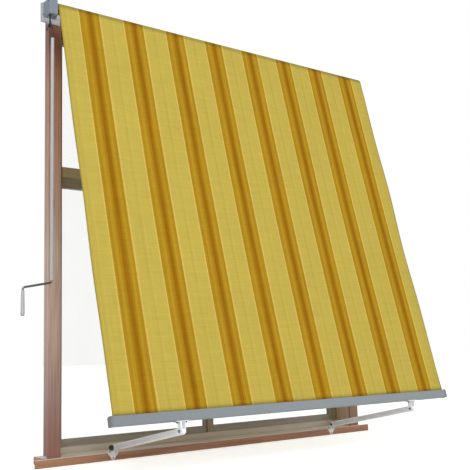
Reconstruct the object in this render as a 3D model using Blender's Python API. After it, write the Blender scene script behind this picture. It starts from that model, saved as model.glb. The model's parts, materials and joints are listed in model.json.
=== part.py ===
"""Drop-arm roller awning on its wooden window frame.

Metres, +Z up. X runs along the window, -Y points out of the facade. The origin is the middle of the
sill board's underside, in the plane of the jambs' front faces. The awning stands let out to its stop,
with the arms low; the crank winds the cloth in and raises the arms.
"""
import math

import bmesh
import bpy
from mathutils import Matrix, Vector

# general fits
GAP = 0.0003
HOLE_SIDES = 16

# window frame
WINDOW_WIDTH = 1.964
FRAME_TOP = 2.130
FACE_WIDTH = 0.066
FACE_THICK = 0.018
LINING_THICK = 0.020
FRAME_DEPTH = 0.140
EDGE_ROUND = 0.003
FACE_EDGE = 0.004
SILL_HEIGHT = 0.036
SILL_OVERHANG = 0.060
SILL_NOSE = 0.020
SILL_HORN = 0.016
DRIP_WIDTH = 0.006
DRIP_DEPTH = 0.005
BOTTOM_RAIL_HEIGHT = 0.031
MULLION_WIDTH = 0.038
MULLION_SHIFT = -0.007
BEAD_WIDTH = 0.018
BEAD_SET_BACK = 0.008
SASH_FRONT = 0.110
SASH_THICK = 0.028
SASH_STILE = 0.058
SASH_RAIL = 0.034
TOP_RAIL = 0.064
TRANSOM_BOARD = 0.0515
TRANSOM_CENTRE = 1.3345
GLASS_THICK = 0.004
GLASS_BITE = 0.006

# roller and cloth
AWNING_SHIFT = -0.0285
CLOTH_WIDTH = 1.973
CLOTH_THICK = 0.0006
TURN_PITCH = 0.0009
TURNS_LEFT = 4
TURN_POINTS = 24
ROLLER_OUT = 0.146
ROLLER_BELOW_TOP = 0.074
TUBE_RADIUS = 0.0215
TUBE_WALL = 0.0012
TUBE_OVER = 0.001
GROOVE_WIDTH = 0.006
GROOVE_DEPTH = 0.0045
PLUG_LENGTH = 0.040
PLUG_FLANGE = 0.003
SHAFT_SQUARE = 0.010
IDLER_PIN_RADIUS = 0.006
IDLER_HEAD_RADIUS = 0.009
IDLER_HEAD = 0.003

# roller brackets
PLATE_THICK = 0.003
PLATE_SPACE = 0.005
PLATE_REACH = 0.172
PLATE_DROP = 0.050
WINCH_PLATE_UNDER = 0.014
WINCH_PLATE_TALL = 0.094
IDLER_PLATE_UNDER = 0.020
IDLER_PLATE_TALL = 0.060
IDLER_NOSE = 0.018
PLATE_FOOT = 0.098
IDLER_FOOT = 0.046
PLATE_CORNER = 0.010
SLOT_WIDTH = 0.007
SLOT_LENGTH = 0.024
SLOT_OUT = 0.032
SLOT_STEP = 0.034
HUB_RADIUS = 0.0082
SQUARE_BOLT = 0.012
SQUARE_BOLT_OUT = 0.050
SQUARE_BOLT_UNDER = 0.002

# winch
HOUSING_WIDTH = 0.039
HOUSING_BACK = 0.118
HOUSING_FRONT = 0.186
HOUSING_UNDER = 0.043
HOUSING_TALL = 0.073
HOUSING_WALL = 0.003
HOUSING_ROUND = 0.006
COVER_THICK = 0.0025
WHEEL_TEETH = 14
WORM_TEETH = 2
WHEEL_RADIUS = 0.012
WORM_RADIUS = 0.006
TOOTH_OUT = 0.0012
TOOTH_IN = 0.0016
WHEEL_WIDTH = 0.010
WORM_LENGTH = 0.024
TOOTH_SHARE = 0.30
TOOTH_FOOT_SHARE = 0.46
WORM_INSET = 0.0135
WORM_SHAFT_RADIUS = 0.004
EYE_UNDER = 0.050
EYE_RING = 0.0105
EYE_WIRE = 0.0035

# crank
HOOK_WIRE = 0.0032
HOOK_BEND = 0.0125
HOOK_TIP_DROP = 0.026
HOOK_TIP_OUT = 0.004
CRANK_TUBE_UNDER = 0.058
CRANK_TUBE_LONG = 1.096
CRANK_TUBE_RADIUS = 0.0075
CRANK_TUBE_WALL = 0.0012
CRANK_PLUG = 0.030
CRANK_ARM = 0.132
CRANK_ARM_FALL = 0.024
CRANK_WIRE = 0.005
CRANK_BEND = 0.010
GRIP_LENGTH = 0.104
GRIP_TOP_RADIUS = 0.0070
GRIP_LOW_RADIUS = 0.0088
GRIP_HEAD = 0.004
GRIP_DROP = 0.002

# front bar
BAR_OUT = 0.640
BAR_TOP = 0.251
BAR_OVER = 0.015
BAR_HEIGHT = 0.040
BAR_FRONT = 0.010
BAR_BACK = 0.016
BAR_SHOULDER = 0.006
BAR_ROUND = 0.0015
BAR_WALL = 0.0022
BAR_CAP = 0.012
CAP_PROUD = 0.0008
KEDER_RADIUS = 0.0031
KEDER_CHANNEL = 0.0037
KEDER_DEPTH = 0.0054
KEDER_MOUTH = 0.0018
BOLT_SLOT = 0.0066
BOLT_SLOT_INNER = 0.0116
BOLT_SLOT_LIP = 0.0016
BOLT_SLOT_DEPTH = 0.0070

# arms, hangers and sill brackets
ARM_SPACING = 1.400
FOOT_SHIFT = 0.036
HEAD_SHIFT = -0.004
SILL_PIVOT_OUT = 0.042
SILL_PIVOT_HEIGHT = 0.060
HANGER_DROP = 0.039
HANGER_BACK = 0.010
CHEEK_THICK = 0.003
EYE_WIDTH = 0.0190
ARM_DEPTH = 0.028
ARM_WIDTH = 0.018
ARM_WALL = 0.0015
ARM_ROUND = 0.006
ARM_START = 0.020
ARM_END = 0.026
FITTING_PLUG = 0.028
PIN_RADIUS = 0.004
PIN_HEAD_RADIUS = 0.0065
PIN_HEAD = 0.004
PIVOT_CAP_RADIUS = 0.0125
PIVOT_CAP = 0.013
HANGER_EAR = 0.017
HANGER_ROUND = 0.011
BOLT_RADIUS = 0.003
BOLT_HEAD_RADIUS = 0.0052
BOLT_HEAD = 0.004
BOLT_NUT = 0.0026
SHIELD_TOP = 0.050
SHIELD_LOW = 0.004
SHIELD_WIDTH = 0.054
SHIELD_SHOULDER = 0.034
SHIELD_TIP = 0.010
SHIELD_THICK = 0.004
SILL_CHEEK_THICK = 0.004
SILL_EYE_ROUND = 0.015

# colours: base colour, roughness, metallic
WOOD = ((0.30, 0.16, 0.10), 0.55, 0.0)
PALE_WOOD = ((0.52, 0.42, 0.32), 0.55, 0.0)
GLASS = ((0.75, 0.82, 0.84), 0.05, 0.0)
CLOTH = ((0.50, 0.38, 0.06), 0.85, 0.0)
ZINC = ((0.42, 0.45, 0.48), 0.40, 0.9)
STEEL = ((0.30, 0.31, 0.33), 0.35, 1.0)
GREY_PAINT = ((0.30, 0.34, 0.38), 0.40, 0.3)
WHITE_PAINT = ((0.80, 0.80, 0.80), 0.35, 0.0)
ALUMINIUM = ((0.72, 0.73, 0.75), 0.30, 0.9)
BLACK = ((0.02, 0.02, 0.02), 0.45, 0.0)
GREY_PLASTIC = ((0.42, 0.42, 0.42), 0.50, 0.0)


def clear_scene():
    for thing in list(bpy.data.objects):
        bpy.data.objects.remove(thing, do_unlink=True)


def material(name, look):
    colour, roughness, metallic = look
    made = bpy.data.materials.new(name)
    made.use_nodes = True
    shader = made.node_tree.nodes["Principled BSDF"]
    shader.inputs["Base Color"].default_value = (*colour, 1.0)
    shader.inputs["Roughness"].default_value = roughness
    shader.inputs["Metallic"].default_value = metallic
    return made


def joint_empty(name, place, parent=None):
    """An empty on a joint's axis; what moves with the joint is parented to it."""
    empty = bpy.data.objects.new(name, None)
    empty.empty_display_size = 0.03
    bpy.context.collection.objects.link(empty)
    above = Vector((0, 0, 0))
    if parent is not None:
        empty.parent = parent
        above = Vector(parent["place"])
    empty.location = Vector(place) - above
    empty["place"] = list(place)
    return empty


def add(name, bm, look, carrier=None, smooth=True):
    """Turn a solid built in world places into a named object whose origin is its carrier's."""
    bmesh.ops.remove_doubles(bm, verts=bm.verts, dist=1e-6)
    bmesh.ops.recalc_face_normals(bm, faces=bm.faces)
    if carrier is not None:
        bmesh.ops.translate(bm, verts=bm.verts, vec=-Vector(carrier["place"]))
    mesh = bpy.data.meshes.new(name)
    bm.to_mesh(mesh)
    bm.free()
    mesh.materials.append(material(name, look))
    if smooth:
        mesh.shade_smooth()
        mesh.set_sharp_from_angle(angle=math.radians(35))
    piece = bpy.data.objects.new(name, mesh)
    bpy.context.collection.objects.link(piece)
    piece.parent = carrier
    return piece


def box(lo, hi, bevel=0.0, segments=2):
    lo, hi = Vector(lo), Vector(hi)
    bm = bmesh.new()
    size = hi - lo
    middle = Matrix.Translation((lo + hi) / 2)
    bmesh.ops.create_cube(bm, size=1, matrix=middle @ Matrix.Diagonal((*size, 1)))
    if bevel:
        bmesh.ops.bevel(
            bm, geom=list(bm.edges), offset=bevel, segments=segments,
            affect="EDGES", profile=0.5, material=-1
        )
    return bm


def prism(outline, lo, hi, axis="X"):
    """Extrude an outline from lo to hi along X (outline in Y, Z), Y (in X, Z) or Z (in X, Y)."""
    place = {"X": lambda a, b: (lo, a, b), "Y": lambda a, b: (a, lo, b), "Z": lambda a, b: (a, b, lo)}[axis]
    along = {"X": (1, 0, 0), "Y": (0, 1, 0), "Z": (0, 0, 1)}[axis]
    bm = bmesh.new()
    face = bm.faces.new([bm.verts.new(place(a, b)) for a, b in outline])
    grown = bmesh.ops.extrude_face_region(bm, geom=[face])
    verts = [v for v in grown["geom"] if isinstance(v, bmesh.types.BMVert)]
    bmesh.ops.translate(bm, verts=verts, vec=Vector(along) * (hi - lo))
    bmesh.ops.recalc_face_normals(bm, faces=bm.faces)
    return bm


def round_outline(centre, radius, sides=HOLE_SIDES, start=0.0):
    return [
        (
            centre[0] + radius * math.cos(start + 2 * math.pi * i / sides),
            centre[1] + radius * math.sin(start + 2 * math.pi * i / sides),
        )
        for i in range(sides)
    ]


def hole_radius(pin, sides=HOLE_SIDES):
    """The corner radius of a many-sided hole that clears a round pin by the gap all round."""
    return (pin + GAP) / math.cos(math.pi / sides)


def rod(lo, hi, centre, radius, axis="X", sides=HOLE_SIDES):
    return prism(round_outline(centre, radius, sides), lo, hi, axis)


def rounded(corners, radius, steps=3):
    """Corners of an outline, each replaced by an arc of the given radius."""
    out = []
    count = len(corners)
    for i, corner in enumerate(corners):
        here = Vector(corner)
        back = (Vector(corners[i - 1]) - here).normalized()
        ahead = (Vector(corners[(i + 1) % count]) - here).normalized()
        half = back.angle(ahead) / 2
        reach = radius / math.tan(half)
        middle = here + (back + ahead).normalized() * radius / math.sin(half)
        first, last = here + back * reach, here + ahead * reach
        turn = (first - middle).angle_signed(last - middle)
        for k in range(steps + 1):
            spoke = (first - middle).copy()
            spoke.rotate(Matrix.Rotation(-turn * k / steps, 2))
            out.append(tuple(middle + spoke))
    return out


def turned(profile, centre, axis="X", sides=24):
    """Spin a profile of (along, radius) points round an X or Z axis through the centre."""
    bm = bmesh.new()
    if axis == "X":
        points = [(a, centre[0], centre[1] + r) for a, r in profile]
        about, line = (0, centre[0], centre[1]), (1, 0, 0)
    else:
        points = [(centre[0] + r, centre[1], a) for a, r in profile]
        about, line = (centre[0], centre[1], 0), (0, 0, 1)
    verts = [bm.verts.new(p) for p in points]
    edges = [bm.edges.new(pair) for pair in zip(verts, verts[1:])]
    if profile[0][1] > 0 and profile[-1][1] > 0:
        edges.append(bm.edges.new((verts[-1], verts[0])))
    bmesh.ops.spin(
        bm, geom=verts + edges, cent=about, axis=line, angle=2 * math.pi, steps=sides, use_merge=True
    )
    bmesh.ops.remove_doubles(bm, verts=bm.verts, dist=1e-6)
    bmesh.ops.recalc_face_normals(bm, faces=bm.faces)
    return bm


def wire(points, radius, resolution=2):
    """A round wire along points, with closed ends."""
    curve = bpy.data.curves.new("wire", "CURVE")
    curve.dimensions = "3D"
    curve.bevel_depth = radius
    curve.bevel_resolution = resolution
    curve.use_fill_caps = True
    spline = curve.splines.new("POLY")
    spline.points.add(len(points) - 1)
    for point, place in zip(spline.points, points):
        point.co = (*place, 1)
    thing = bpy.data.objects.new("wire", curve)
    bpy.context.collection.objects.link(thing)
    bm = evaluated(thing)
    bpy.data.objects.remove(thing, do_unlink=True)
    bmesh.ops.remove_doubles(bm, verts=bm.verts, dist=1e-6)
    bmesh.ops.recalc_face_normals(bm, faces=bm.faces)
    return bm


def evaluated(thing):
    mesh = bpy.data.meshes.new_from_object(thing.evaluated_get(bpy.context.evaluated_depsgraph_get()))
    bm = bmesh.new()
    bm.from_mesh(mesh)
    bpy.data.meshes.remove(mesh)
    return bm


def combine(base, others, operation):
    """Join others to base, or cut them from it, one after another."""
    things = []
    for bm in [base] + list(others):
        mesh = bpy.data.meshes.new("shape")
        bm.to_mesh(mesh)
        bm.free()
        things.append(bpy.data.objects.new("shape", mesh))
        bpy.context.collection.objects.link(things[-1])
    for other in things[1:]:
        change = things[0].modifiers.new("change", "BOOLEAN")
        change.operation = operation
        change.solver = "EXACT"
        change.object = other
    result = evaluated(things[0])
    for thing in things:
        bpy.data.objects.remove(thing, do_unlink=True)
    return result


def join(base, *others):
    return combine(base, others, "UNION")


def cut(base, *others):
    return combine(base, others, "DIFFERENCE")


def arc(centre, radius, start, end, steps):
    """Points of an arc in a plane, angles in degrees."""
    turn = [math.radians(start + (end - start) * i / steps) for i in range(steps + 1)]
    return [(centre[0] + radius * math.cos(t), centre[1] + radius * math.sin(t)) for t in turn]


# places worked out from the sizes
HALF = WINDOW_WIDTH / 2
INNER = HALF - FACE_WIDTH
OPENING_TOP = FRAME_TOP - FACE_WIDTH
ROLLER_HEIGHT = FRAME_TOP - ROLLER_BELOW_TOP
WINCH_PLATE_LOW = ROLLER_HEIGHT - WINCH_PLATE_UNDER
WINCH_PLATE_HIGH = WINCH_PLATE_LOW + WINCH_PLATE_TALL
IDLER_PLATE_LOW = ROLLER_HEIGHT - IDLER_PLATE_UNDER
IDLER_PLATE_HIGH = IDLER_PLATE_LOW + IDLER_PLATE_TALL
SQUARE_BOLT_HEIGHT = ROLLER_HEIGHT - SQUARE_BOLT_UNDER
HOUSING_LOW = ROLLER_HEIGHT - HOUSING_UNDER
HOUSING_HIGH = HOUSING_LOW + HOUSING_TALL
EYE_HEIGHT = HOUSING_LOW - EYE_UNDER
CRANK_TUBE_TOP = EYE_HEIGHT - CRANK_TUBE_UNDER
CRANK_TUBE_LOW = CRANK_TUBE_TOP - CRANK_TUBE_LONG
ROLLER = Vector((-ROLLER_OUT, ROLLER_HEIGHT))
BAR_LENGTH = CLOTH_WIDTH + 2 * BAR_OVER
BAR_EDGE = Vector((-BAR_OUT, BAR_TOP))
ROLL_RADIUS = TUBE_RADIUS + GAP + CLOTH_THICK / 2 + TURN_PITCH * TURNS_LEFT
TO_BAR = BAR_EDGE - ROLLER
LEAVE_ANGLE = math.atan2(TO_BAR.y, TO_BAR.x) - math.acos(ROLL_RADIUS / TO_BAR.length)
LEAVE = ROLLER + ROLL_RADIUS * Vector((math.cos(LEAVE_ANGLE), math.sin(LEAVE_ANGLE)))
SILL_PIVOT = Vector((-SILL_PIVOT_OUT, SILL_PIVOT_HEIGHT))
BAR_DOWN = (BAR_EDGE - LEAVE).normalized()


def bar_point(down, front):
    """A place on the front bar, so far down from its top and forward, in line with the cloth."""
    return BAR_EDGE + BAR_DOWN * down + Vector((BAR_DOWN.y, -BAR_DOWN.x)) * front


BAR_PIVOT = bar_point(BAR_HEIGHT + HANGER_DROP, -HANGER_BACK)
ARM_LINE = (BAR_PIVOT - SILL_PIVOT).normalized()
ARM_LENGTH = (BAR_PIVOT - SILL_PIVOT).length
ARM_SIDE = Vector((-ARM_LINE.y, ARM_LINE.x))
CLOTH_LEFT = AWNING_SHIFT - CLOTH_WIDTH / 2
CLOTH_RIGHT = AWNING_SHIFT + CLOTH_WIDTH / 2
TUBE_LEFT = CLOTH_LEFT - TUBE_OVER
TUBE_RIGHT = CLOTH_RIGHT + TUBE_OVER
WINCH_PLATE_X = TUBE_LEFT - PLATE_SPACE - PLATE_THICK
IDLER_PLATE_X = TUBE_RIGHT + PLATE_SPACE
COVER_RIGHT = WINCH_PLATE_X - GAP
HOUSING_RIGHT = COVER_RIGHT - COVER_THICK - GAP
HOUSING_LEFT = HOUSING_RIGHT - HOUSING_WIDTH
WORM_X = HOUSING_LEFT + WORM_INSET
WORM_Y = -ROLLER_OUT - WHEEL_RADIUS - WORM_RADIUS
BAR_LEFT = AWNING_SHIFT - BAR_LENGTH / 2 + BAR_CAP
BAR_RIGHT = AWNING_SHIFT + BAR_LENGTH / 2 - BAR_CAP
EYE_HALF = EYE_WIDTH / 2
BOLT_LINE = (BAR_FRONT - BAR_BACK) / 2
FOOT_PLACES = {"left": FOOT_SHIFT - ARM_SPACING / 2, "right": FOOT_SHIFT + ARM_SPACING / 2}
HEAD_PLACES = {"left": HEAD_SHIFT - ARM_SPACING / 2, "right": HEAD_SHIFT + ARM_SPACING / 2}


def arm_point(along, side):
    """A place on an arm: so far along from the sill pivot and so far to its upper side."""
    return SILL_PIVOT + ARM_LINE * along - ARM_SIDE * side


def build_frame():
    sill_lo, sill_hi = -HALF - SILL_OVERHANG, HALF + SILL_OVERHANG
    nose = rounded(
        [(-SILL_NOSE, 0), (FRAME_DEPTH, 0), (FRAME_DEPTH, SILL_HEIGHT), (-SILL_NOSE, SILL_HEIGHT)],
        EDGE_ROUND
    )
    drip_back = -SILL_NOSE / 2 + DRIP_WIDTH / 2
    drip = box(
        (sill_lo - 0.01, drip_back - DRIP_WIDTH, -0.01),
        (sill_hi + 0.01, drip_back, DRIP_DEPTH),
    )
    horns = [
        box((lo, SILL_HORN - SILL_NOSE, -0.01), (hi, FRAME_DEPTH + 0.01, SILL_HEIGHT + 0.01))
        for lo, hi in ((sill_lo - 0.01, -HALF), (HALF, sill_hi + 0.01))
    ]
    add("sill_board", cut(prism(nose, sill_lo, sill_hi), drip, *horns), WOOD)

    foot = SILL_HEIGHT + GAP
    for name, side in (("left_jamb", -1), ("right_jamb", 1)):
        face_outline = [
            (side * HALF, 0),
            (side * INNER, 0),
            (side * INNER, FRAME_DEPTH),
            (side * (INNER + LINING_THICK), FRAME_DEPTH),
            (side * (INNER + LINING_THICK), FACE_THICK),
            (side * (HALF - FACE_THICK), FACE_THICK),
            (side * HALF, FACE_EDGE),
        ]
        bm = prism(face_outline, foot, FRAME_TOP, "Z")
        soften_long_edges(bm, "Z")
        add(name, bm, WOOD)
    head = [
        (0, FRAME_TOP),
        (0, OPENING_TOP),
        (FRAME_DEPTH, OPENING_TOP),
        (FRAME_DEPTH, OPENING_TOP + LINING_THICK),
        (FACE_THICK, OPENING_TOP + LINING_THICK),
        (FACE_THICK, FRAME_TOP - FACE_THICK),
        (FACE_EDGE, FRAME_TOP),
    ]
    bm = prism(head, -INNER + GAP, INNER - GAP)
    soften_long_edges(bm, "X")
    add("head_rail", bm, WOOD)


def soften_long_edges(bm, axis):
    """Round the convex edges that run the length of a board."""
    index = "XYZ".index(axis)
    longest = max(v.co[index] for v in bm.verts) - min(v.co[index] for v in bm.verts)
    edges = []
    for edge in bm.edges:
        run = abs(edge.verts[0].co[index] - edge.verts[1].co[index])
        if run > 0.99 * longest and edge.is_convex and edge.calc_face_angle() > math.radians(80):
            edges.append(edge)
    bmesh.ops.bevel(bm, geom=edges, offset=EDGE_ROUND, segments=2, affect="EDGES", profile=0.5, material=-1)


def build_window():
    """Rails, stiles and the mullion, grooved for four panes."""
    back = SASH_FRONT + SASH_THICK
    sill_top = SILL_HEIGHT + GAP
    low = sill_top + BOTTOM_RAIL_HEIGHT + GAP
    high = OPENING_TOP - GAP
    post_lo = MULLION_SHIFT - MULLION_WIDTH / 2
    post_hi = MULLION_SHIFT + MULLION_WIDTH / 2
    bead_lo = post_lo - GAP - BEAD_WIDTH
    edge = INNER - GAP
    woods = {
        "bottom_rail": ((-edge, SASH_FRONT, sill_top), (edge, back, low - GAP)),
        "left_stile": ((-edge, SASH_FRONT, low), (-edge + SASH_STILE, back, high)),
        "right_stile": ((edge - SASH_STILE, SASH_FRONT, low), (edge, back, high)),
        "mullion": ((post_lo, SASH_FRONT, low), (post_hi, back, high)),
        "mullion_bead": ((bead_lo, SASH_FRONT + BEAD_SET_BACK, low), (post_lo - GAP, back, high)),
    }
    rows = (
        ("lower", low, low + SASH_RAIL),
        ("transom_lower", TRANSOM_CENTRE - TRANSOM_BOARD, TRANSOM_CENTRE - GAP / 2),
        ("transom_upper", TRANSOM_CENTRE + GAP / 2, TRANSOM_CENTRE + TRANSOM_BOARD),
        ("upper", high - TOP_RAIL, high),
    )
    panes = {}
    front = SASH_FRONT + SASH_THICK / 2 + 0.002
    for side, lo, hi in (("left", -edge + SASH_STILE, bead_lo), ("right", post_hi, edge - SASH_STILE)):
        for row, bottom, top in rows:
            woods[f"{side}_{row}_rail"] = ((lo + GAP, SASH_FRONT, bottom), (hi - GAP, back, top))
        for level, bottom, top in (("lower", rows[0][2], rows[1][1]), ("upper", rows[2][2], rows[3][1])):
            panes[f"{side}_{level}_pane"] = (
                Vector((lo - GLASS_BITE, front, bottom - GLASS_BITE)),
                Vector((hi + GLASS_BITE, front + GLASS_THICK, top + GLASS_BITE)),
            )
    spare = Vector((GAP, GAP, GAP))
    for name, (lo, hi) in woods.items():
        grooves = [
            box(start - spare, end + spare)
            for start, end in panes.values()
            if all(start[k] < hi[k] and end[k] > lo[k] for k in range(3))
        ]
        wood = box(lo, hi, EDGE_ROUND / 2)
        add(name, cut(wood, *grooves) if grooves else wood, PALE_WOOD)
    for name, (lo, hi) in panes.items():
        add(name, box(lo, hi), GLASS, smooth=False)


def bracket(low, high, x, foot_lo, foot_hi, nose, hole):
    """A plate folded into a cheek and a foot, with a bearing hole for the roller's shaft."""
    foot = box((foot_lo, -GAP - PLATE_THICK, low), (foot_hi, -GAP, high))
    cheek = prism([(-GAP, low), (-GAP, high)] + nose, x, x + PLATE_THICK)
    bearing = rod(x - 0.01, x + PLATE_THICK + 0.01, ROLLER, hole_radius(hole, 24), sides=24)
    return cut(join(cheek, foot), bearing)


def build_brackets():
    x = WINCH_PLATE_X
    far = x + PLATE_THICK
    band = [
        (-GAP, WINCH_PLATE_LOW),
        (-GAP, WINCH_PLATE_HIGH),
        (-PLATE_REACH, WINCH_PLATE_HIGH - PLATE_DROP),
        (-PLATE_REACH, WINCH_PLATE_LOW - PLATE_DROP),
    ]
    nose = rounded(band, PLATE_CORNER, 4)[10:]
    plate = bracket(WINCH_PLATE_LOW, WINCH_PLATE_HIGH, x, x, x + PLATE_FOOT, nose, HUB_RADIUS)
    half = SLOT_LENGTH / 2 - SLOT_WIDTH / 2
    cutters = []
    for k in range(2):
        out = SLOT_OUT + SLOT_STEP * k
        middle = (WINCH_PLATE_LOW + WINCH_PLATE_HIGH) / 2 + 0.012 - out * PLATE_DROP / PLATE_REACH
        slot = [
            *arc((-out, middle + half), SLOT_WIDTH / 2, 0, 180, 4),
            *arc((-out, middle - half), SLOT_WIDTH / 2, 180, 360, 4),
        ]
        cutters.append(prism(slot, x - 0.01, far + 0.01))
    square = Vector((-SQUARE_BOLT_OUT, SQUARE_BOLT_HEIGHT))
    cutters.append(rod(x - 0.01, far + 0.01, square, hole_radius(PIN_RADIUS)))
    add("winch_bracket", cut(plate, *cutters), ZINC)
    head = prism(round_outline(square, SQUARE_BOLT / math.sqrt(2), 4), x - GAP - 0.0045, x - GAP)
    bmesh.ops.recalc_face_normals(head, faces=head.faces)
    shank = rod(x - GAP - 0.001, far + GAP + 0.001, square, PIN_RADIUS)
    nut = prism(round_outline(square, 0.0070, 6), far + GAP, far + GAP + 0.003)
    add("square_bolt", join(head, shank, nut), STEEL)

    x = IDLER_PLATE_X
    nose = arc(ROLLER, IDLER_NOSE, 100, 260, 10)
    plate = bracket(
        IDLER_PLATE_LOW, IDLER_PLATE_HIGH, x, x - IDLER_FOOT, x + PLATE_THICK, nose, IDLER_PIN_RADIUS
    )
    add("idler_bracket", plate, ZINC)


def toothed(count, inner, outer, start):
    """A gear outline: teeth with sloped flanks between two radii."""
    points = []
    step = 2 * math.pi / count
    for k in range(count):
        middle = start + k * step
        for share, radius in (
            (-TOOTH_FOOT_SHARE, inner),
            (-TOOTH_SHARE, outer),
            (0, outer),
            (TOOTH_SHARE, outer),
            (TOOTH_FOOT_SHARE, inner),
        ):
            angle = middle + share * step / 2
            points.append((radius * math.cos(angle), radius * math.sin(angle)))
        gap_angle = middle + step / 2
        points.append((inner * math.cos(gap_angle), inner * math.sin(gap_angle)))
    return points


def twisted(outline, lo, hi, turn, steps):
    """Extrude an outline along Z from lo to hi, turned from -turn/2 to turn/2 on the way."""
    bm = bmesh.new()
    rings = []
    for k in range(steps + 1):
        share = k / steps
        about = Matrix.Rotation(turn * (share - 0.5), 3, "Z")
        rings.append([bm.verts.new(about @ Vector((x, y, lo + (hi - lo) * share))) for x, y in outline])
    for below, above in zip(rings, rings[1:]):
        for i in range(len(outline)):
            bm.faces.new((below[i - 1], below[i], above[i], above[i - 1]))
    bm.faces.new(rings[0])
    bm.faces.new(rings[-1])
    bmesh.ops.recalc_face_normals(bm, faces=bm.faces)
    return bm


def build_winch(turning, rolling):
    lo = (HOUSING_LEFT, -HOUSING_FRONT, HOUSING_LOW)
    hi = (HOUSING_RIGHT, -HOUSING_BACK, HOUSING_HIGH)
    shell = box(lo, hi)
    outer = [e for e in shell.edges if min(v.co.x for v in e.verts) < HOUSING_RIGHT - 0.001]
    bmesh.ops.bevel(
        shell, geom=outer, offset=HOUSING_ROUND, segments=3, affect="EDGES", profile=0.5, material=-1
    )
    wall = HOUSING_WALL
    hollow = box((lo[0] + wall, lo[1] + wall, lo[2] + wall), (hi[0] + 0.01, hi[1] - wall, hi[2] - wall))
    seat = hole_radius(WORM_SHAFT_RADIUS)
    bore = rod(HOUSING_LOW - 0.01, HOUSING_LOW + wall + 0.001, (WORM_X, WORM_Y), seat, "Z")
    add("gearbox_housing", cut(shell, hollow, bore), GREY_PAINT)
    cover = box(
        (HOUSING_RIGHT + GAP, lo[1] + HOUSING_ROUND / 2, lo[2] + HOUSING_ROUND / 2),
        (COVER_RIGHT, hi[1] - HOUSING_ROUND / 2, hi[2] - HOUSING_ROUND / 2),
    )
    opening = rod(HOUSING_RIGHT - 0.01, COVER_RIGHT + 0.01, ROLLER, hole_radius(HUB_RADIUS, 24), sides=24)
    add("gearbox_cover", cut(cover, opening), ZINC)

    lead = WORM_TEETH * 2 * math.pi * WHEEL_RADIUS / WHEEL_TEETH
    worm_turn = -2 * math.pi * WORM_LENGTH / lead
    section = toothed(WORM_TEETH, WORM_RADIUS - TOOTH_IN, WORM_RADIUS + TOOTH_OUT, math.pi / 2)
    worm = twisted(section, -WORM_LENGTH / 2, WORM_LENGTH / 2, worm_turn, 28)
    bmesh.ops.translate(worm, verts=worm.verts, vec=(WORM_X, WORM_Y, ROLLER_HEIGHT))
    neck = EYE_HEIGHT + EYE_RING
    shaft = rod(neck, HOUSING_HIGH - wall - GAP, (WORM_X, WORM_Y), WORM_SHAFT_RADIUS, "Z")
    collar = rod(HOUSING_LOW - 0.006, HOUSING_LOW - GAP, (WORM_X, WORM_Y), WORM_SHAFT_RADIUS + 0.0022, "Z")
    ring = turned(
        [
            (WORM_X + EYE_WIRE * math.sin(t), EYE_RING + EYE_WIRE * math.cos(t))
            for t in [2 * math.pi * i / 10 for i in range(10)]
        ],
        (WORM_Y, EYE_HEIGHT),
        sides=20,
    )
    add("worm_shaft", join(shaft, collar, worm, ring), STEEL, turning)

    slant = -WORM_TEETH / WHEEL_TEETH / WORM_RADIUS * WHEEL_WIDTH
    start = math.pi + math.pi / WHEEL_TEETH
    outline = toothed(WHEEL_TEETH, WHEEL_RADIUS - TOOTH_IN, WHEEL_RADIUS + TOOTH_OUT, start)
    wheel = twisted(outline, -WHEEL_WIDTH / 2, WHEEL_WIDTH / 2, slant, 4)
    lay = Matrix(((0, 0, 1), (1, 0, 0), (0, 1, 0)))
    bmesh.ops.transform(wheel, verts=wheel.verts, matrix=lay.to_4x4())
    bmesh.ops.translate(wheel, verts=wheel.verts, vec=(WORM_X, ROLLER.x, ROLLER.y))
    half = SHAFT_SQUARE / 2 + GAP
    bore = box(
        (WORM_X - 0.02, ROLLER.x - half, ROLLER.y - half),
        (TUBE_LEFT, ROLLER.x + half, ROLLER.y + half),
    )
    hub = rod(WORM_X - WHEEL_WIDTH / 2 - 0.002, WINCH_PLATE_X + PLATE_THICK, ROLLER, HUB_RADIUS, sides=24)
    add("worm_wheel", cut(join(wheel, hub), bore), STEEL, rolling)


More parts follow.
